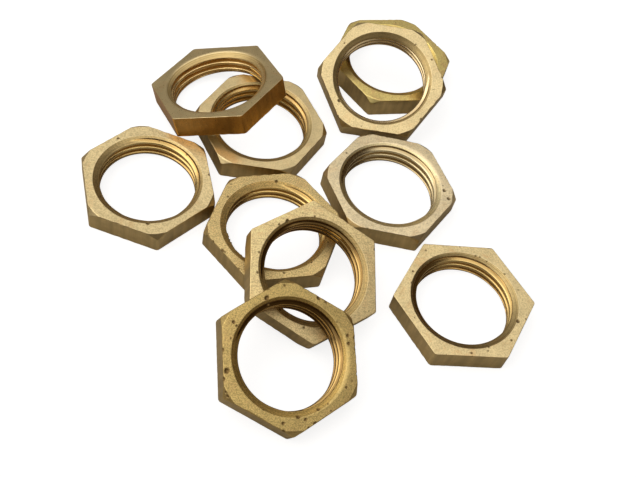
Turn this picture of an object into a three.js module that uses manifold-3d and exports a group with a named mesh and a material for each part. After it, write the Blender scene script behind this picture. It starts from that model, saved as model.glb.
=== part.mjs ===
// Ten brass hexagon lock nuts of an M20 x 1.5 cable gland, lying loose in a small heap.
// Millimetres, +Z up. Each nut is its own mesh, so each can be picked up on its own.

import * as THREE from 'three';
import { mergeVertices } from 'three/addons/utils/BufferGeometryUtils.js';
import Module from 'manifold-3d';

const wasm = await Module();
wasm.setup();

// ---- Driving dimensions -------------------------------------------------------------

const ACROSS_FLATS = 24;
const THICKNESS = 4.5;
const EDGE_ROUND = 0.5; // radius on the six upright edges of the hexagon bar

const THREAD_MAJOR = 20;
const THREAD_PITCH = 1.5;
const THREAD_HEIGHT = 0.812; // radial depth of an ISO thread of this pitch

const WIDE_MOUTH = 21; // diameter of the countersink in the face that shows
const NARROW_MOUTH = 18.9; // diameter of the slight one in the other face
const COUNTERSINK_ANGLE = 30; // from the face, degrees

const CHAMFER_DIAMETER = 25.7; // circle that trims the hexagon's corners on the chamfered face
const CHAMFER_ANGLE = 45; // from the face, degrees

const CLEARANCE = 1; // how far a cutter runs past the nut
const MERGE_DISTANCE = 1e-5; // points closer than this are one

const FACETS = 24; // facets in a full turn of the thread, countersinks and chamfer

// ---- Where each nut lies ------------------------------------------------------------
// at: centre on the table. turn: degrees about its own axis. up: the face that shows.
// square: true for the two nuts whose corners are left whole at both faces.
// A leaning nut has one edge on the table and its other side propped on a neighbour:
// propped is the direction of the raised side, lean is the angle, both in degrees.

const HEAP = [
  { name: 'locknut_centre_right', at: [11, 14.7], turn: 96, up: 'chamfer' },
  { name: 'locknut_left', at: [-34.6, -0.55], turn: 26, up: 'chamfer' },
  { name: 'locknut_middle_lower', at: [-8.6, -2.8], turn: 355, up: 'chamfer' },
  { name: 'locknut_right', at: [29.8, -7.2], turn: 45, up: 'flat', square: true },
  { name: 'locknut_rear_lower', at: [4.6, 48.6], turn: 113, up: 'chamfer' },
  { name: 'locknut_rear_left_lower', at: [-17.8, 21.2], turn: 100, up: 'chamfer' },
  {
    name: 'locknut_rear_left_upper', at: [-28, 24.5], turn: 218, up: 'flat', square: true,
    propped: -23, lean: 20,
  },
  { name: 'locknut_middle_upper', at: [0.5, -12.2], turn: 17, up: 'flat', propped: 134, lean: 17.2 },
  { name: 'locknut_front', at: [0.6, -30.7], turn: 81, up: 'chamfer', propped: 132, lean: 20 },
  { name: 'locknut_rear_upper', at: [3.7, 38.9], turn: 277, up: 'chamfer', propped: 88, lean: 21 },
];

// ---- Materials ----------------------------------------------------------------------

const PALE_BRASS = { color: 0xd9c08a, roughness: 0.36, metalness: 1 };
const GOLDEN_BRASS = { color: 0xc9a660, roughness: 0.45, metalness: 1 };
const GOLDEN_NUTS = ['locknut_middle_lower', 'locknut_middle_upper', 'locknut_front'];

function brass(name) {
  return new THREE.MeshStandardMaterial(GOLDEN_NUTS.includes(name) ? GOLDEN_BRASS : PALE_BRASS);
}

// ---- Solids -------------------------------------------------------------------------

function solidFrom(geometry) {
  geometry.deleteAttribute('normal');
  geometry.deleteAttribute('uv');
  const merged = mergeVertices(geometry, MERGE_DISTANCE);
  return new wasm.Manifold(new wasm.Mesh({
    numProp: 3,
    vertProperties: new Float32Array(merged.attributes.position.array),
    triVerts: new Uint32Array(merged.index.array),
  }));
}

function geometryFrom(solid) {
  const mesh = solid.getMesh();
  const geometry = new THREE.BufferGeometry();
  geometry.setAttribute('position', new THREE.BufferAttribute(mesh.vertProperties, 3));
  geometry.setIndex(new THREE.BufferAttribute(mesh.triVerts, 1));
  geometry.computeVertexNormals();
  return geometry;
}

// A solid of revolution about +Z. The profile is [radius, height] pairs from the lower
// end of the axis to its upper end.
function turned(profile) {
  const points = profile.map(([radius, height]) => new THREE.Vector2(radius, height));
  const geometry = new THREE.LatheGeometry(points, FACETS);
  geometry.rotateX(Math.PI / 2);
  return solidFrom(geometry);
}

// The length of hexagon bar, its flats square to 0, 60, 120 degrees and so on.
function hexagonBar() {
  const arcCentre = (ACROSS_FLATS / 2 - EDGE_ROUND) / Math.cos(Math.PI / 6);
  const outline = new THREE.Shape();
  for (let side = 0; side < 6; side += 1) {
    const corner = THREE.MathUtils.degToRad(30 + 60 * side);
    outline.absarc(
      arcCentre * Math.cos(corner),
      arcCentre * Math.sin(corner),
      EDGE_ROUND,
      corner - Math.PI / 6,
      corner + Math.PI / 6,
      false,
    );
  }
  outline.closePath();
  const bar = new THREE.ExtrudeGeometry(outline, {
    depth: THICKNESS,
    bevelEnabled: false,
    curveSegments: 2,
  });
  bar.translate(0, 0, -THICKNESS / 2);
  return solidFrom(bar);
}

// The turned envelope that trims the hexagon's corners at the upper face only.
function chamferEnvelope() {
  const half = THICKNESS / 2;
  const rimRadius = ACROSS_FLATS / 2 / Math.cos(Math.PI / 6) + CLEARANCE;
  const slope = Math.tan(THREE.MathUtils.degToRad(CHAMFER_ANGLE));
  const rimHeight = half - (rimRadius - CHAMFER_DIAMETER / 2) * slope;
  return turned([
    [0, -half - CLEARANCE],
    [rimRadius, -half - CLEARANCE],
    [rimRadius, rimHeight],
    [CHAMFER_DIAMETER / 2, half],
    [0, half],
  ]);
}

// The two countersinks, joined through the bore by a plug below the thread's minor size.
// The wide one is in the face that shows.
function countersinks(minorRadius, up) {
  const half = THICKNESS / 2;
  const slope = Math.tan(THREE.MathUtils.degToRad(COUNTERSINK_ANGLE));
  const plugRadius = minorRadius - CLEARANCE / 2;
  const upperMouth = (up === 'flat' ? NARROW_MOUTH : WIDE_MOUTH) / 2;
  const lowerMouth = (up === 'flat' ? WIDE_MOUTH : NARROW_MOUTH) / 2;
  return turned([
    [0, -half - CLEARANCE],
    [lowerMouth + CLEARANCE / slope, -half - CLEARANCE],
    [plugRadius, -half + (lowerMouth - plugRadius) * slope],
    [plugRadius, half - (upperMouth - plugRadius) * slope],
    [upperMouth + CLEARANCE / slope, half + CLEARANCE],
    [0, half + CLEARANCE],
  ]);
}

// The tap: a core with an ISO thread wound round it, a pitch or more longer than the nut
// at each end. Each row of points climbs one pitch in a turn, so it ends where the row
// one pitch higher begins.
function tap(minorRadius) {
  const majorRadius = minorRadius + THREAD_HEIGHT;
  const section = [
    [minorRadius, 0],
    [minorRadius, THREAD_PITCH * 4 / 16],
    [majorRadius, THREAD_PITCH * 9 / 16],
    [majorRadius, THREAD_PITCH * 11 / 16],
  ];
  const turns = Math.ceil(THICKNESS / THREAD_PITCH) + 3;
  const bottom = -THREAD_PITCH * (turns + 1) / 2;
  const topRow = section.length * turns;

  const threadPoint = (row, step) => {
    if (step === FACETS) {
      return threadPoint(row + section.length, 0);
    }
    const [radius, rise] = section[row % section.length];
    const pitches = Math.floor(row / section.length) + step / FACETS;
    const angle = step / FACETS * Math.PI * 2;
    return [radius * Math.cos(angle), radius * Math.sin(angle), bottom + pitches * THREAD_PITCH + rise];
  };

  const corners = [];
  const lowerEdge = [];
  const upperEdge = [];
  for (let step = 0; step < FACETS; step += 1) {
    for (let row = 0; row < topRow; row += 1) {
      const a = threadPoint(row, step);
      const b = threadPoint(row, step + 1);
      const c = threadPoint(row + 1, step + 1);
      const d = threadPoint(row + 1, step);
      corners.push(a, b, c, a, c, d);
    }
    lowerEdge.push(threadPoint(0, step));
    upperEdge.push(threadPoint(topRow, step));
  }
  for (let row = 0; row < section.length; row += 1) {
    lowerEdge.push(threadPoint(section.length - row, 0));
    upperEdge.push(threadPoint(topRow - row, FACETS));
  }

  const lowerTip = [0, 0, bottom - THREAD_PITCH];
  const upperTip = [0, 0, bottom + (turns + 2) * THREAD_PITCH];
  lowerEdge.forEach((start, i) => {
    corners.push(lowerTip, lowerEdge[(i + 1) % lowerEdge.length], start);
  });
  upperEdge.forEach((start, i) => {
    corners.push(upperTip, start, upperEdge[(i + 1) % upperEdge.length]);
  });

  const geometry = new THREE.BufferGeometry();
  geometry.setAttribute('position', new THREE.Float32BufferAttribute(corners.flat(), 3));
  return solidFrom(geometry);
}

// One lock nut on its own axis, its middle at the origin and its chamfered face up.
// up is the face that will show, which has the wide countersink. A square nut has no chamfer.
function lockNut({ up, square = false }) {
  const minorRadius = THREAD_MAJOR / 2 - THREAD_HEIGHT;
  const blank = square ? hexagonBar() : hexagonBar().intersect(chamferEnvelope());
  const bored = blank.subtract(countersinks(minorRadius, up));
  return geometryFrom(bored.subtract(tap(minorRadius)));
}

// ---- The heap -----------------------------------------------------------------------

const UP = new THREE.Vector3(0, 0, 1);
const FLIP = new THREE.Quaternion().setFromAxisAngle(new THREE.Vector3(1, 0, 0), Math.PI);

// How a nut is turned in space: flipped if its flat face shows, turned about its own
// axis, then leaned so that its propped side rises.
function attitude({ turn, up, propped = 0, lean = 0 }) {
  const hinge = THREE.MathUtils.degToRad(propped - 90);
  const hingeAxis = new THREE.Vector3(Math.cos(hinge), Math.sin(hinge), 0);
  const leaned = new THREE.Quaternion().setFromAxisAngle(hingeAxis, THREE.MathUtils.degToRad(lean));
  const spun = new THREE.Quaternion().setFromAxisAngle(UP, THREE.MathUtils.degToRad(turn));
  const result = leaned.multiply(spun);
  return up === 'flat' ? result.multiply(FLIP) : result;
}

// Puts a nut down so that its lowest point just meets the table.
function layDown(geometry, nut) {
  const mesh = new THREE.Mesh(geometry, brass(nut.name));
  mesh.name = nut.name;
  mesh.quaternion.copy(attitude(nut));
  mesh.updateMatrixWorld();
  const lowest = new THREE.Box3().setFromObject(mesh, true).min.z;
  mesh.position.set(nut.at[0], nut.at[1], -lowest);
  return mesh;
}

// The whole heap, centred on the origin in plan, with the table at z = 0.
function heapOfNuts() {
  const heap = new THREE.Group();
  HEAP.forEach((nut) => heap.add(layDown(lockNut(nut), nut)));
  heap.updateMatrixWorld(true);
  const middle = new THREE.Box3().setFromObject(heap, true).getCenter(new THREE.Vector3());
  heap.position.set(-middle.x, -middle.y, 0);
  return heap;
}

export default heapOfNuts();
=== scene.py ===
import math
import random

import bpy
import numpy as np
from mathutils import Matrix, Quaternion, Vector


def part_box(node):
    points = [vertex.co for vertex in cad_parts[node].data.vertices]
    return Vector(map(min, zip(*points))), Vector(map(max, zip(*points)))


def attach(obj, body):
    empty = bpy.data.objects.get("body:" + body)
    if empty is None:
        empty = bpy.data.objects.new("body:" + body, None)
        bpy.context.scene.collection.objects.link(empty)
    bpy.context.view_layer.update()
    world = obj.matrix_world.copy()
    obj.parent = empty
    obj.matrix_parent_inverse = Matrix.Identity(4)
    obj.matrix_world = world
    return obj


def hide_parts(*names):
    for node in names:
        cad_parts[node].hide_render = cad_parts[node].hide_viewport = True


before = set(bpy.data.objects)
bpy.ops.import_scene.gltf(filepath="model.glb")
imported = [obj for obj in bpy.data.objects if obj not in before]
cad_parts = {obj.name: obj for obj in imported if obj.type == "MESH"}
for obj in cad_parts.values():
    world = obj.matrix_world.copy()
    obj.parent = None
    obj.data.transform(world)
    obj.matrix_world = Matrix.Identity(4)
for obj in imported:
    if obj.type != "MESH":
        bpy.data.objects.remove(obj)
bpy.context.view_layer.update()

# Ten brass lock nuts of a cable gland in a small heap. Shapes are worked out in
# millimetres in each nut's own frame, with its chamfered face up, and go to Blender in metres.

MM = 0.001
ABOVE_TABLE = 0.000005  # metres between a nut's lowest point and the table

# ---- The nut ------------------------------------------------------------------------

HALF_FLATS = 11.99
HALF_THICK = 2.245
CORNER_ROUND = 0.7
THREAD_MAJOR_RADIUS = 10.0
THREAD_PITCH = 1.5
THREAD_HEIGHT = 0.812
THREAD_ROOT_AT = 0.1875  # height of a thread root where the angle is zero
CREST_HALF_WIDTH = THREAD_PITCH / 10
ROOT_HALF_WIDTH = THREAD_PITCH / 16
WIDE_MOUTH = 10.5  # radius of the countersink in the face that shows
NARROW_MOUTH = 9.45  # radius of the slight one in the other face
COUNTERSINK_SLOPE = math.tan(math.radians(30))
CONE_EDGE = 0.06  # how gradually the countersink's finish gives way to the thread's
SHARP_MOUTH = 0.08  # rounding where a countersink meets its face
MOUTH_SHARE = 0.75  # how much of that rounding reaches down the countersink
BURR_WIDTH = 0.11
BURR_FROM = 0.6  # how far up the thread's flank a burr can form, from 0 to 1
CHAMFER_STARTS = 0.3  # where its straight part starts and ends, as shares of its width
CHAMFER_ENDS = 0.8
WORN_SPREAD = 0.6  # how far round the nut a worn or burred part reaches, in square radians

# how finely the mesh is divided
FLAT_STEPS = 72
CORNER_STEPS = 6
SIDE_ROWS = 12
CHAMFER_ROWS = 10
CHAMFERED_FACE_ROWS = 18
BORE_ROWS = 64
FLAT_FACE_ROWS = 18

# pits in the faces
PIT_PAST_MOUTH = 0.6  # how far inside the wide mouth's edge one can lie
PIT_FACING = 0.6  # how squarely its surface faces the way of the face that shows, up to 1
PIT_RADIUS = (0.13, 0.26)
LARGE_PIT = 1.6  # how many times the radius of the others
LARGE_PIT_SHARE = 0.2
PIT_HEIGHT = 0.45  # height of the ball's centre above the face, in radii
PIT_DIRT_REACH = 1.25  # how far the dirt reaches, in radii

# Blender's Mix node has a socket of each name for every kind of value, so its colour
# sockets are reached by number.
MIX_A = 6
MIX_B = 7
MIX_RESULT = 2


def hexagon_angles():
    """Angles round the nut, close together at the six rounded corners."""
    tangent = math.atan(math.tan(math.pi / 6) * (1 - CORNER_ROUND / HALF_FLATS))
    flat = np.linspace(-tangent, tangent, FLAT_STEPS, endpoint=False)
    corner = np.linspace(tangent, math.pi / 3 - tangent, CORNER_STEPS, endpoint=False)
    sector = np.concatenate([flat, corner])
    return np.concatenate([sector + side * math.pi / 3 for side in range(6)])


def hexagon_radius(angle):
    """Distance from the axis to the rounded hexagon at each angle."""
    within = (angle + math.pi / 6) % (math.pi / 3) - math.pi / 6
    from_corner = math.pi / 6 - np.abs(within)
    arc_centre = (HALF_FLATS - CORNER_ROUND) / math.cos(math.pi / 6)
    across = arc_centre * np.sin(from_corner)
    reach = np.sqrt(np.maximum(CORNER_ROUND ** 2 - across ** 2, 0))
    on_arc = arc_centre * np.cos(from_corner) + reach
    on_flat = HALF_FLATS / np.cos(within)
    return np.where(across < CORNER_ROUND / 2, on_arc, on_flat)


def ragged(angle, rng, lowest, highest, count):
    """A seamless wavering line round the nut, mostly between -1 and 1."""
    total = np.zeros_like(angle)
    for _ in range(count):
        total += np.cos(rng.randint(lowest, highest) * angle + rng.uniform(0, 2 * math.pi))
    return total / math.sqrt(count)


def near(angle, centre):
    """1 in one direction round the nut, falling away to 0 on both sides of it."""
    away = (angle - centre + math.pi) % (2 * math.pi) - math.pi
    return np.exp(-(away ** 2) / WORN_SPREAD)


def bend(start, corner, end, count):
    """Points of a soft corner between two straight parts of the profile, without its ends."""
    points = []
    for t in np.linspace(0, 1, count + 2)[1:-1]:
        weights = ((1 - t) ** 2, 2 * t * (1 - t), t ** 2)
        radius = sum(w * p[0] for w, p in zip(weights, (start, corner, end)))
        height = sum(w * p[1] for w, p in zip(weights, (start, corner, end)))
        points.append((radius, height))
    return points


def straight(start, end, count):
    """Points from start to end, with both ends."""
    return [
        (start[0] + (end[0] - start[0]) * t, start[1] + (end[1] - start[1]) * t)
        for t in np.linspace(0, 1, count)
    ]


def bore_radius(angle, height, mouth, burr):
    """Radius of the bore, how deep in a groove it is, and whether it is the countersink."""
    turns = height / THREAD_PITCH - angle / (2 * math.pi) - THREAD_ROOT_AT / THREAD_PITCH
    off_root = np.abs(turns - np.round(turns)) * THREAD_PITCH
    flank = THREAD_PITCH / 2 - CREST_HALF_WIDTH - ROOT_HALF_WIDTH
    climb = np.clip((off_root - ROOT_HALF_WIDTH) / flank, 0, 1)
    eased = climb * climb * (3 - 2 * climb)
    thread = THREAD_MAJOR_RADIUS - THREAD_HEIGHT * eased
    cone = mouth - (HALF_THICK - np.abs(height)) / COUNTERSINK_SLOPE
    lip = np.exp(-((cone - thread) / BURR_WIDTH) ** 2) * np.where(climb > BURR_FROM, 1, 0)
    lip = lip * np.where(mouth > NARROW_MOUTH, 1, 0)
    radius = np.maximum(thread, cone) - burr * lip
    groove = np.clip((radius - THREAD_MAJOR_RADIUS + THREAD_HEIGHT) / THREAD_HEIGHT, 0, 1)
    on_cone = np.clip((cone - thread) / CONE_EDGE, 0, 1)
    return radius, np.where(cone > thread, 0, groove), on_cone


class Grid:
    """Rows of points round the nut. Each point comes with how far it is side, edge, bore,
    groove and countersink, from 0 to 1."""

    def __init__(self, angle):
        self.angle = angle
        self.rows = []
        self.zones = []

    def add(self, points, side=0.0, edge=0.0, bore=0.0, groove=0.0, cone=0.0):
        nothing = np.zeros_like(self.angle)
        zone = np.stack([share + nothing for share in (side, edge, bore, groove, cone)])
        for radius, height in points:
            self.rows.append((radius + nothing, height + nothing))
            self.zones.append(zone)

    def points(self):
        radius = np.array([r for r, _ in self.rows])
        height = np.array([z for _, z in self.rows])
        plan = (radius * np.cos(self.angle), radius * np.sin(self.angle))
        return np.stack([*plan, height], axis=-1)


def towards(start, end, share):
    """The point this share of the way from start to end."""
    return tuple(a + (b - a) * share for a, b in zip(start, end))


def add_side(grid, look, hexagon, wear):
    """Adds the side wall, from the flat face up, and the chamfer, which is only an edge
    break along the flats and wide at the corners. Returns where the chamfered face starts."""
    rim = np.minimum(look["ring"], hexagon - wear)
    slope = math.tan(math.radians(look["chamfer"]))
    side_top = HALF_THICK - np.maximum((hexagon - look["ring"]) * slope, wear)
    foot_start = (hexagon - wear, -HALF_THICK)
    foot_end = (hexagon, -HALF_THICK + wear)
    wall_top = (hexagon, side_top)
    head = (hexagon, side_top - 0.5 * wear)
    grid.add(bend(foot_start, (hexagon, -HALF_THICK), foot_end, count=3), side=0.3, edge=1)
    grid.add(straight(foot_end, head, SIDE_ROWS), side=1)

    rim_edge = (rim, HALF_THICK)
    chamfer_start = towards(wall_top, rim_edge, CHAMFER_STARTS)
    chamfer_end = towards(wall_top, rim_edge, CHAMFER_ENDS)
    chamfer = straight(chamfer_start, chamfer_end, CHAMFER_ROWS)
    face_start = (rim - 0.5 * wear, HALF_THICK)
    grid.add(bend(head, wall_top, chamfer_start, count=3), side=0.4, edge=1)
    # The chamfer takes part of the side's colour, its darker skin and painted shade alike.
    grid.add(chamfer, side=look["chamfer_skin_and_shade"], edge=0.4)
    grid.add(bend(chamfer_end, rim_edge, face_start, count=2), edge=0.4)
    return face_start


def add_bore(grid, start, end, mouths, burr):
    """Adds the bore, from the chamfered face's countersink down to the flat face's."""
    upper_mouth, lower_mouth = mouths
    for t in np.linspace(0, 1, BORE_ROWS):
        height = start + (end - start) * t
        mouth = np.where(height > 0, upper_mouth, lower_mouth)
        radius, groove, cone = bore_radius(grid.angle, height, mouth, burr)
        grid.add([(radius, height)], bore=1, groove=groove, cone=cone)


def nut_grid(look, rng):
    """The points of the whole nut and their zones, in rows from the flat face's edge up the
    side, over the chamfered face, down the bore and back across the flat face."""
    angle = hexagon_angles()
    hexagon = hexagon_radius(angle)
    waver = ragged(angle, rng, lowest=3, highest=60, count=16)
    wear = look["wear"] * np.clip(1 + 0.4 * waver, a_min=0.4, a_max=2.2)
    teeth = ragged(angle, rng, lowest=8, highest=90, count=24)
    burr = look["burr"] * near(angle, look["burr_at"])
    burr = burr * np.clip(0.5 + 0.6 * teeth, a_min=0, a_max=1.6)
    worn = look["soft"] + look["blend"] * near(angle, look["blend_at"])
    upper_mouth, upper_soft = WIDE_MOUTH, worn
    lower_mouth, lower_soft = NARROW_MOUTH, SHARP_MOUTH
    if look["up"] == "flat":
        upper_mouth, upper_soft = NARROW_MOUTH, SHARP_MOUTH
        lower_mouth, lower_soft = WIDE_MOUTH, worn

    grid = Grid(angle)
    face_start = add_side(grid, look, hexagon, wear)

    upper_reach = upper_soft * MOUTH_SHARE
    upper_edge = (upper_mouth, HALF_THICK)
    face_end = (upper_mouth + upper_soft, HALF_THICK)
    bore_start = (upper_mouth - upper_reach, HALF_THICK - upper_reach * COUNTERSINK_SLOPE)
    grid.add(straight(face_start, face_end, CHAMFERED_FACE_ROWS))
    grid.add(bend(face_end, upper_edge, bore_start, count=3), edge=0.6)

    bore_end = -HALF_THICK + lower_soft * MOUTH_SHARE * COUNTERSINK_SLOPE
    add_bore(grid, bore_start[1], bore_end, (upper_mouth, lower_mouth), burr)

    lower_edge = (lower_mouth, -HALF_THICK)
    mouth_end = (lower_mouth + lower_soft, -HALF_THICK)
    grid.add(bend(grid.rows[-1], lower_edge, mouth_end, count=3), edge=0.6)
    grid.add(straight(mouth_end, (hexagon - wear, -HALF_THICK), FLAT_FACE_ROWS))
    return grid.points(), np.array(grid.zones)


def grid_normals(points):
    """Outward unit normals of the closed grid of points."""
    along_row = np.roll(points, -1, axis=1) - np.roll(points, 1, axis=1)
    across = np.roll(points, -1, axis=0) - np.roll(points, 1, axis=0)
    normal = np.cross(along_row, across)
    return normal / np.maximum(np.linalg.norm(normal, axis=-1, keepdims=True), 1e-9)


def press_pits(points, normals, look, rng):
    """Small pits and knocks: balls pressed into the face that shows. Moves the points and
    returns how dark with dirt each one is."""
    dark = np.zeros(points.shape[:2])
    towards_face = normals[..., 2] if look["up"] == "chamfer" else -normals[..., 2]
    candidates = np.argwhere(
        (towards_face > PIT_FACING)
        & (np.hypot(points[..., 0], points[..., 1]) > WIDE_MOUTH - PIT_PAST_MOUTH)
    )
    for _ in range(look["pits"]):
        row, column = candidates[rng.randrange(len(candidates))]
        size = look["pit_size"] * rng.uniform(*PIT_RADIUS)
        size = size * (LARGE_PIT if rng.random() < LARGE_PIT_SHARE else 1)
        centre = points[row, column] + normals[row, column] * size * PIT_HEIGHT
        offset = points - centre
        distance = np.linalg.norm(offset, axis=-1)
        inside = distance < size
        points[inside] = centre + offset[inside] / distance[inside][:, None] * size
        dirt = PIT_DIRT_REACH - distance / size
        dark = np.maximum(dark, np.sqrt(np.clip(dirt, 0, 1)))
    return dark


def nut_mesh(name, look, rng):
    """One nut's mesh, turned the way it lies, with its zones as attributes."""
    points, zones = nut_grid(look, rng)
    dark = press_pits(points, grid_normals(points), look, rng)
    rows, columns = points.shape[:2]
    index = np.arange(rows * columns).reshape(rows, columns)
    below = np.roll(index, -1, axis=0)
    quads = np.stack(
        [index, np.roll(index, -1, axis=1), np.roll(below, -1, axis=1), below], axis=-1
    ).reshape(-1, 4)
    mesh = bpy.data.meshes.new(name)
    points = points.reshape(-1, 3)
    mesh.from_pydata((points @ np.array(attitude(look)).T * MM).tolist(), [], quads.tolist())
    mesh.update()
    mesh.shade_smooth()
    side, edge, bore, groove, cone = (zones[:, i].reshape(-1) for i in range(5))
    mesh.attributes.new("on_nut", "FLOAT_VECTOR", "POINT").data.foreach_set(
        "vector", points.astype(np.float32).reshape(-1)
    )
    for label, values in (
        ("side", side),
        ("edge", edge),
        ("bore", bore),
        ("groove", groove),
        ("cone", cone),
        ("pit", dark.reshape(-1)),
    ):
        mesh.attributes.new(label, "FLOAT", "POINT").data.foreach_set(
            "value", values.astype(np.float32)
        )
    return mesh


# ---- Brass --------------------------------------------------------------------------

# Painted reflection: the countersink drawn more golden than the face, for warm light bounced into
# it.
CONE_REFLECTED_GOLD = (1, 0.93, 0.78)  # how much more golden the countersink is than the face
BRUSH_ACROSS = 3.6  # how fine the brush marks are across and along the brushing, per mm
BRUSH_ALONG = 0.3
DRAWN_OUT = (1, 1, 0.12)  # how the side's streaks are drawn out along the bar


class Surface:
    """A metal material being wired up, with positions in millimetres on the nut."""

    def __init__(self, name, rng):
        self.material = bpy.data.materials.new(name)
        self.material.use_nodes = True
        self.nodes = self.material.node_tree.nodes
        self.links = self.material.node_tree.links
        self.shader = self.nodes["Principled BSDF"]
        self.shader.inputs["Metallic"].default_value = 1.0
        place = self.nodes.new("ShaderNodeAttribute")
        place.attribute_name = "on_nut"
        self.on_nut = place.outputs["Vector"]
        shift = [rng.uniform(-50, 50) for _ in range(3)]
        self.where = self.vector("ADD", self.on_nut, shift)

    def feed(self, socket, value):
        if isinstance(value, bpy.types.NodeSocket):
            self.links.new(value, socket)
        else:
            socket.default_value = value

    def vector(self, operation, a, b=(0, 0, 0)):
        node = self.nodes.new("ShaderNodeVectorMath")
        node.operation = operation
        self.feed(node.inputs[0], a)
        self.feed(node.inputs[1], b)
        return node.outputs["Value" if operation in ("LENGTH", "DOT_PRODUCT") else "Vector"]

    def math(self, operation, a, b):
        node = self.nodes.new("ShaderNodeMath")
        node.operation = operation
        self.feed(node.inputs[0], a)
        self.feed(node.inputs[1], b)
        return node.outputs[0]

    def grey(self, value):
        node = self.nodes.new("ShaderNodeCombineColor")
        for socket in node.inputs:
            self.links.new(value, socket)
        return node.outputs[0]

    def ramp(self, value, start, end, low=0.0, high=1.0):
        node = self.nodes.new("ShaderNodeMapRange")
        for socket, number in zip(node.inputs, (value, start, end, low, high)):
            self.feed(socket, number)
        return node.outputs[0]

    def mix(self, amount, a, b, blend="MIX"):
        node = self.nodes.new("ShaderNodeMix")
        node.data_type = "RGBA"
        node.blend_type = blend
        self.feed(node.inputs["Factor"], amount)
        self.feed(node.inputs[MIX_A], a)
        self.feed(node.inputs[MIX_B], b)
        return node.outputs[MIX_RESULT]

    def noise(self, where, scale, detail=3.0, roughness=0.55, distortion=0.0):
        node = self.nodes.new("ShaderNodeTexNoise")
        self.feed(node.inputs["Vector"], where)
        node.inputs["Scale"].default_value = scale
        node.inputs["Detail"].default_value = detail
        node.inputs["Roughness"].default_value = roughness
        node.inputs["Distortion"].default_value = distortion
        return node.outputs["Fac"]

    def attribute(self, name):
        node = self.nodes.new("ShaderNodeAttribute")
        node.attribute_name = name
        return node.outputs["Fac"]

    def bump(self, height, strength, distance, under=None):
        node = self.nodes.new("ShaderNodeBump")
        node.inputs["Strength"].default_value = strength
        node.inputs["Distance"].default_value = distance * MM
        self.feed(node.inputs["Height"], height)
        if under is not None:
            self.feed(node.inputs["Normal"], under)
        return node.outputs["Normal"]


def shade(colour, factor):
    """The colour made darker or lighter, with no channel above 1."""
    return tuple(min(channel * factor, 1.0) for channel in colour) + (1.0,)


def brush_marks(s, rng):
    """Long fine marks in one direction across the nut."""
    way = rng.uniform(0, math.pi)
    across = s.vector("DOT_PRODUCT", s.where, (math.cos(way), math.sin(way), 0))
    lengthwise = s.vector("DOT_PRODUCT", s.where, (-math.sin(way), math.cos(way), 0))
    stretched = s.nodes.new("ShaderNodeCombineXYZ")
    s.feed(stretched.inputs["X"], s.math("MULTIPLY", across, BRUSH_ACROSS))
    s.feed(stretched.inputs["Y"], s.math("MULTIPLY", lengthwise, BRUSH_ALONG))
    return s.noise(stretched.outputs["Vector"], scale=1.0, detail=3, roughness=0.6)


def turning_rings(s, rng):
    """Fine rings about the nut's axis."""
    radius = s.vector("LENGTH", s.vector("MULTIPLY", s.on_nut, (1, 1, 0)))
    node = s.nodes.new("ShaderNodeTexNoise")
    node.noise_dimensions = "1D"
    s.feed(node.inputs["W"], s.math("ADD", radius, rng.uniform(0, 40)))
    node.inputs["Scale"].default_value = 5.5
    node.inputs["Detail"].default_value = 3
    return node.outputs["Fac"]


def face_colour(s, look, grain, brush):
    """Turned or sanded face: fine grain, soft clouds, stains and brush marks, and painted
    shading that makes the face lighter on one side of the nut and darker on the other."""
    light = shade(look["tint"], 1 + 0.2 * look["grain"])
    dark = shade(look["tint"], 1 - 0.65 * look["grain"])
    colour = s.mix(s.ramp(grain, start=0.44, end=0.6), light, dark)

    cloud = s.noise(s.where, scale=0.28, detail=2, roughness=0.5)
    clouded = s.ramp(cloud, start=0.35, end=0.65, low=0.92, high=1.04)
    colour = s.mix(1.0, colour, s.grey(clouded), "MULTIPLY")

    stain = s.noise(s.where, scale=0.42, detail=3, roughness=0.6, distortion=0.6)
    stained = s.ramp(stain, start=0.54, end=0.68, low=0, high=look["stain"])
    colour = s.mix(stained, colour, shade(look["stain_tint"], 1))

    # Painted shading: the face lighter towards one direction on the table, darker away from it.
    painted_shading_way = (math.cos(look["drift_at"]), math.sin(look["drift_at"]), 0)
    along = s.vector("DOT_PRODUCT", s.on_nut, painted_shading_way)
    drift = s.ramp(along, -HALF_FLATS, HALF_FLATS, 1 - look["drift"], 1 + look["drift"])
    colour = s.mix(1.0, colour, s.grey(drift), "MULTIPLY")

    scratched = s.ramp(brush, start=0.53, end=0.62, low=0, high=look["brush"])
    return s.mix(scratched, colour, shade(look["tint"], 0.5))


def side_colour(s, look, streak):
    """Drawn side: a darker skin, partly the bar's own skin and partly painted shade,
    faintly streaked along the bar, and blotched.
    """
    streaks = s.ramp(streak, start=0.35, end=0.65)
    # The skin's darker colour is partly painted shade.
    colour = s.mix(streaks, shade(look["skin_and_shade"], 0.86), shade(look["skin_and_shade"], 1.1))
    blotch = s.noise(s.where, scale=0.5, detail=3, roughness=0.55)
    blotches = s.ramp(blotch, start=0.45, end=0.7, low=0, high=0.4)
    return s.mix(blotches, colour, shade(look["skin_and_shade"], 0.7))


def thread_colour(s, look, groove):
    """Tapped bore: a richer gold, partly a painted reflection of warm light between its brass
    walls, with painted shade: brown down in the grooves and darker towards the far end.
    """
    visible = 1 if look["up"] == "chamfer" else -1
    height = s.vector("DOT_PRODUCT", s.on_nut, (0, 0, visible))
    # Painted shade: darker down the bore, away from the face that shows.
    painted_far_shade = s.ramp(height, start=0.3, end=-HALF_THICK, low=0, high=0.75)
    # Painted shade: brown down in the thread's grooves.
    colour = s.mix(groove, shade(look["bore"], 1), shade(look["painted_bore_shade"], 1))
    return s.mix(painted_far_shade, colour, shade(look["painted_bore_shade"], 0.85))


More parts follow.
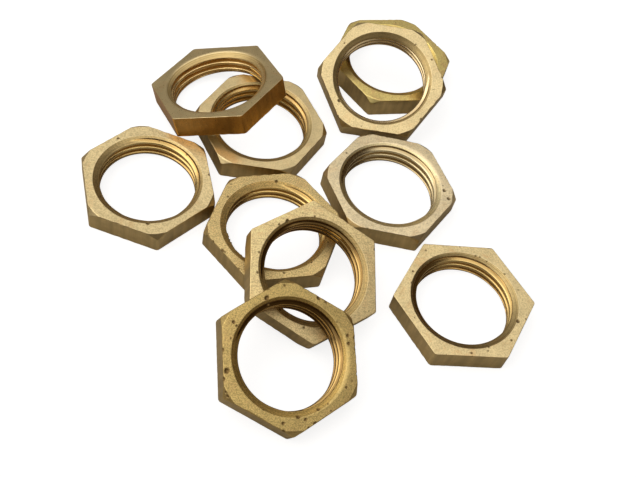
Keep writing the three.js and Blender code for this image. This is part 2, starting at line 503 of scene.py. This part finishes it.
def cone_colour(s, look, face, rings):
    """Countersink: the face's colour made more golden, a painted warm reflection, and lighter
    or darker for each nut, painted shading; with turning rings.
    """
    # Painted reflection and shading: more golden than the face, lighter or darker for each nut.
    colour = s.mix(1.0, face, shade(CONE_REFLECTED_GOLD, look["cone_painted_shading"]), "MULTIPLY")
    ringed = s.ramp(rings, start=0.4, end=0.6, low=0.78, high=1.12)
    return s.mix(1.0, colour, s.grey(ringed), "MULTIPLY")


def add_dirt(s, look, colour, pit):
    """Dark specks here and there, and dirt in the pits."""
    speck = s.noise(s.where, scale=1.9, detail=2, roughness=0.5)
    specked = s.ramp(speck, start=look["speck"], end=look["speck"] + 0.03)
    colour = s.mix(s.math("MULTIPLY", specked, 0.55), colour, shade(look["dirt"], 1))
    return s.mix(pit, colour, shade(look["dirt"], 1))


def brass(name, look, rng):
    """The brass of one nut: faces, sides, bore and countersink each with their finish."""
    s = Surface(name, rng)
    zones = ("side", "edge", "bore", "groove", "cone", "pit")
    side, edge, bore, groove, cone, pit = (s.attribute(zone) for zone in zones)
    outside = s.math("SUBTRACT", 1.0, bore)
    open_face = s.math("MULTIPLY", outside, s.math("SUBTRACT", 1.0, side))
    grain = s.noise(s.where, scale=look["grain_size"], detail=4, roughness=0.65)
    brush = brush_marks(s, rng)
    rings = turning_rings(s, rng)
    drawn_out = s.vector("MULTIPLY", s.where, DRAWN_OUT)
    streak = s.noise(drawn_out, scale=0.9, detail=3, roughness=0.5)

    colour = s.mix(side, face_colour(s, look, grain, brush), side_colour(s, look, streak))
    inside = s.mix(cone, thread_colour(s, look, groove), cone_colour(s, look, colour, rings))
    colour = s.mix(bore, colour, inside)
    colour = s.mix(s.math("MULTIPLY", edge, 0.5), colour, shade(look["tint"], 1.12))
    s.feed(s.shader.inputs["Base Color"], add_dirt(s, look, colour, pit))

    rough = s.ramp(grain, start=0.3, end=0.7, low=look["rough"] - 0.05, high=look["rough"] + 0.08)
    rough = s.ramp(bore, start=0, end=1, low=rough, high=look["bore_rough"])
    rough = s.math("ADD", rough, s.math("MULTIPLY", cone, look["cone_rough"]))
    rough = s.math("ADD", rough, s.math("MULTIPLY", pit, 0.25))
    s.feed(s.shader.inputs["Roughness"], rough)

    turned_parts = s.math("ADD", open_face, s.math("MULTIPLY", cone, 0.8))
    ring_height = s.math("MULTIPLY", rings, turned_parts)
    grain_height = s.math("MULTIPLY", grain, open_face)
    brush_height = s.math("MULTIPLY", brush, open_face)
    streak_height = s.math("MULTIPLY", streak, side)
    normal = s.bump(ring_height, strength=0.4, distance=0.03)
    normal = s.bump(grain_height, strength=look["grain"] * 0.8, distance=0.06, under=normal)
    normal = s.bump(brush_height, strength=look["brush"] * 0.6, distance=0.04, under=normal)
    normal = s.bump(streak_height, strength=0.2, distance=0.05, under=normal)
    s.feed(s.shader.inputs["Normal"], normal)
    return s.material


# ---- The heap -----------------------------------------------------------------------
# turn, up, propped and lean say how each nut lies, as in the CAD: degrees about its own
# axis, the face that shows, the direction of its raised side and how far it leans.
# blend_facing, burr_facing and drift_facing are directions on the table, in degrees;
# painted shading lightens a face towards its drift_facing.

PALE = {
    "tint": (0.80, 0.64, 0.34),
    "skin_and_shade": (0.74, 0.57, 0.28),
    "bore": (0.76, 0.56, 0.23),
    "painted_bore_shade": (0.52, 0.31, 0.10),
    "dirt": (0.16, 0.10, 0.04),
    "stain_tint": (0.74, 0.46, 0.20),
    "stain": 0.25,
    "grain": 0.25,
    "grain_size": 3.2,
    "drift": 0.0,
    "brush": 0.18,
    "rough": 0.33,
    "bore_rough": 0.21,
    "cone_rough": 0.2,
    "cone_painted_shading": 0.95,
    "speck": 0.73,
    "wear": 0.09,
    "pits": 8,
    "pit_size": 1.0,
    "burr": 0.0,
    "ring": 12.85,
    "chamfer": 45,
    "chamfer_skin_and_shade": 0.4,
    "soft": SHARP_MOUTH,
    "blend": 0.0,
}
GOLDEN = dict(
    PALE,
    skin_and_shade=(0.68, 0.52, 0.25),
    bore=(0.66, 0.44, 0.16),
    painted_bore_shade=(0.20, 0.10, 0.03),
    bore_rough=0.17,
    cone_rough=0.36,
    grain=0.6,
    grain_size=4.4,
    brush=0.3,
    rough=0.42,
    wear=0.12,
    pits=24,
    speck=0.7,
)

SQUARE_CORNERS = 14.0  # a ring wider than the nut, so nothing is chamfered

NUTS = {
    "centre_right": dict(
        PALE,
        turn=96,
        up="chamfer",
        tint=(0.90, 0.75, 0.47),
        bore=(0.82, 0.69, 0.42),
        painted_bore_shade=(0.52, 0.37, 0.17),
        cone_painted_shading=1.15,
        burr=0.34,
        burr_facing=115,
        blend=0.35,
        blend_facing=60,
    ),
    "left": dict(
        PALE,
        turn=26,
        up="chamfer",
        cone_painted_shading=0.86,
        pits=6,
        grain=0.32,
        drift=0.06,
        drift_facing=80,
    ),
    "middle_lower": dict(
        GOLDEN,
        turn=355,
        up="chamfer",
        tint=(0.79, 0.60, 0.27),
        bore=(0.80, 0.57, 0.22),
        painted_bore_shade=(0.46, 0.28, 0.09),
        burr=0.2,
        burr_facing=215,
    ),
    "right": dict(
        PALE,
        turn=45,
        up="flat",
        ring=SQUARE_CORNERS,
        tint=(0.85, 0.68, 0.36),
        cone_painted_shading=0.6,
        pits=18,
        stain=0.5,
    ),
    # Its tint is lifted, painted light that brightens it where rear_upper shades it.
    "rear_lower": dict(PALE, turn=113, up="chamfer", tint=(0.98, 0.77, 0.29), stain=0.5),
    "rear_left_lower": dict(PALE, turn=100, up="chamfer", cone_painted_shading=1.15, pits=2, grain=0.12),
    "rear_left_upper": dict(
        PALE,
        turn=218,
        up="flat",
        ring=SQUARE_CORNERS,
        propped=-23,
        lean=20,
        # Its sides are drawn orange-brown, a painted reflection of warm light from the brass about
        # it.
        skin_and_shade=(0.68, 0.37, 0.10),
        bore=(0.97, 0.72, 0.34),
        painted_bore_shade=(0.80, 0.54, 0.22),
        cone_painted_shading=0.8,
        grain=0.08,
        rough=0.3,
        bore_rough=0.27,
        soft=0.4,
        pits=1,
        brush=0.06,
    ),
    "middle_upper": dict(
        GOLDEN,
        turn=17,
        up="flat",
        propped=134,
        lean=17.2,
        tint=(0.94, 0.73, 0.37),
        cone_painted_shading=0.7,
        grain=0.4,
        drift=0.14,
        drift_facing=150,
        pits=10,
        brush=0.4,
    ),
    "front": dict(
        GOLDEN,
        turn=81,
        up="chamfer",
        propped=132,
        lean=20,
        tint=(0.72, 0.53, 0.20),
        drift=0.1,
        drift_facing=200,
        blend=0.45,
        blend_facing=10,
        burr=0.14,
        burr_facing=45,
        grain=0.48,
        pits=38,
        pit_size=1.3,
        dirt=(0.24, 0.15, 0.06),
    ),
    "rear_upper": dict(
        PALE,
        turn=277,
        up="chamfer",
        propped=88,
        lean=21,
        bore=(0.92, 0.74, 0.44),
        painted_bore_shade=(0.72, 0.52, 0.26),
        cone_painted_shading=0.72,
        pits=10,
    ),
}


def attitude(look):
    """How the nut is turned in space: flipped, turned about its axis, then leaned."""
    hinge = math.radians(look.get("propped", 0) - 90)
    hinge_axis = Vector((math.cos(hinge), math.sin(hinge), 0))
    result = Quaternion(hinge_axis, math.radians(look.get("lean", 0)))
    result = result @ Quaternion((0, 0, 1), math.radians(look["turn"]))
    if look["up"] == "flat":
        result = result @ Quaternion((1, 0, 0), math.pi)
    return result.to_matrix()


def place_nut(number, name, look):
    """Makes one nut and puts it where its CAD solid lies, its lowest point on the table."""
    rng = random.Random(100 + number)
    sense = 1 if look["up"] == "chamfer" else -1
    look = dict(look)
    for feature in ("blend", "burr", "drift"):
        facing = look.get(f"{feature}_facing", 0)
        look[f"{feature}_at"] = math.radians(sense * (facing - look["turn"]))
    mesh = nut_mesh(f"nut_{name}", look, rng)
    mesh.materials.append(brass(f"brass_{name}", look, rng))
    piece = bpy.data.objects.new(f"nut_{name}", mesh)
    bpy.context.collection.objects.link(piece)

    node = f"locknut_{name}"
    points = np.empty(len(mesh.vertices) * 3)
    mesh.vertices.foreach_get("co", points)
    points = points.reshape(-1, 3)
    low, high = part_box(node)
    middle = Vector((points.min(axis=0) + points.max(axis=0)) / 2)
    shift = (low + high) / 2 - middle
    shift.z = low.z - points[:, 2].min() + ABOVE_TABLE
    mesh.transform(Matrix.Translation(shift))
    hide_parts(node)
    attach(piece, f"{name}_nut")


for number, (name, look) in enumerate(NUTS.items()):
    place_nut(number, name, look)

# ---- Camera -------------------------------------------------------------------------

SENSOR_MM = 36.0
LENS_MM = 57.962264
ELEVATION = math.radians(55.1)
ROLL = math.radians(16.07)
DISTANCE = 0.201  # metres from the point aimed at
AIM = Vector((2.61, -9.455, 0)) * MM

back = Vector((0, -math.cos(ELEVATION), math.sin(ELEVATION)))
level = Vector((1, 0, 0))
upright = level.cross(-back)
camera_x = level * math.cos(ROLL) + upright * math.sin(ROLL)
camera_y = upright * math.cos(ROLL) - level * math.sin(ROLL)
camera_data = bpy.data.cameras.new("camera")
camera_data.sensor_width = SENSOR_MM
camera_data.lens = LENS_MM
camera_data.clip_start = 0.01
camera_data.clip_end = 20
camera = bpy.data.objects.new("camera", camera_data)
bpy.context.collection.objects.link(camera)
pose = Matrix((camera_x, camera_y, back)).transposed().to_4x4()
pose.translation = AIM + back * DISTANCE
camera.matrix_world = pose
bpy.context.scene.camera = camera

# ---- Floor and light ----------------------------------------------------------------
# The camera sees a floor that glows a little, so that it is pale with faint shadows. The
# nuts see a warm grey one.

FLOOR_REACH = 3.0  # metres from its middle to each side
FLOOR_BOUNCE = (0.42, 0.39, 0.34, 1)
FLOOR_SEEN = (0.4, 0.4, 0.4, 1)
FLOOR_GLOW = 0.82
LAMP_WHITE = (1, 0.98, 0.94)
SKY_GOLD = (1, 0.66, 0.36, 1)
SKY_STRENGTH = 0.05


def floor():
    mesh = bpy.data.meshes.new("floor")
    reach = FLOOR_REACH
    corners = [(-reach, -reach, 0), (reach, -reach, 0), (reach, reach, 0), (-reach, reach, 0)]
    mesh.from_pydata(corners, [], [(0, 1, 2, 3)])
    material = bpy.data.materials.new("floor")
    material.use_nodes = True
    nodes, links = material.node_tree.nodes, material.node_tree.links
    shader = nodes["Principled BSDF"]
    shader.inputs["Roughness"].default_value = 0.9
    shader.inputs["Specular IOR Level"].default_value = 0.1
    path = nodes.new("ShaderNodeLightPath")
    seen = nodes.new("ShaderNodeMix")
    seen.data_type = "RGBA"
    links.new(path.outputs["Is Camera Ray"], seen.inputs["Factor"])
    seen.inputs[MIX_A].default_value = FLOOR_BOUNCE
    seen.inputs[MIX_B].default_value = FLOOR_SEEN
    links.new(seen.outputs[MIX_RESULT], shader.inputs["Base Color"])
    glow = nodes.new("ShaderNodeMath")
    glow.operation = "MULTIPLY"
    links.new(path.outputs["Is Camera Ray"], glow.inputs[0])
    glow.inputs[1].default_value = FLOOR_GLOW
    shader.inputs["Emission Color"].default_value = (1, 1, 1, 1)
    links.new(glow.outputs[0], shader.inputs["Emission Strength"])
    mesh.materials.append(material)
    piece = bpy.data.objects.new("floor", mesh)
    bpy.context.collection.objects.link(piece)


def from_sky(azimuth, elevation, distance):
    """A point at this distance from the heap, seen from it in this direction in degrees."""
    turn, rise = math.radians(azimuth), math.radians(elevation)
    way = (math.cos(rise) * math.cos(turn), math.cos(rise) * math.sin(turn), math.sin(rise))
    return Vector(way) * distance


def softbox(name, where, facing, size, radiance, colour):
    """A broad soft lamp at a place, facing a direction. Its size is in metres."""
    data = bpy.data.lights.new(name, "AREA")
    data.shape = "RECTANGLE"
    data.size, data.size_y = size
    data.energy = radiance * math.pi * size[0] * size[1]
    data.color = colour
    lamp = bpy.data.objects.new(name, data)
    bpy.context.collection.objects.link(lamp)
    lamp.location = where
    lamp.rotation_euler = Vector(facing).to_track_quat("-Z", "Y").to_euler()


floor()
OVERHEAD_PLACE = Vector((-0.26, 0.22, 0.8))
KEY_PLACE = from_sky(azimuth=200, elevation=46, distance=1.0)
FRONT_PLACE = from_sky(azimuth=280, elevation=62, distance=1.1)
BACK_PLACE = from_sky(azimuth=128, elevation=20, distance=1.2)
softbox(
    "overhead", OVERHEAD_PLACE, Vector((0, 0, -1)),
    size=(1.4, 1.16), radiance=1.04, colour=(1, 0.985, 0.96),
)
softbox("key", KEY_PLACE, -KEY_PLACE, size=(1.05, 0.8), radiance=1.2, colour=(1, 0.97, 0.92))
softbox("front_fill", FRONT_PLACE, -FRONT_PLACE, size=(2.6, 0.5), radiance=0.45, colour=LAMP_WHITE)
softbox("back_fill", BACK_PLACE, -BACK_PLACE, size=(1.6, 0.7), radiance=0.25, colour=LAMP_WHITE)
world = bpy.data.worlds.new("studio")
bpy.context.scene.world = world
world.use_nodes = True
background = world.node_tree.nodes["Background"]
background.inputs["Color"].default_value = SKY_GOLD
background.inputs["Strength"].default_value = SKY_STRENGTH
bpy.context.scene.view_settings.view_transform = "Standard"
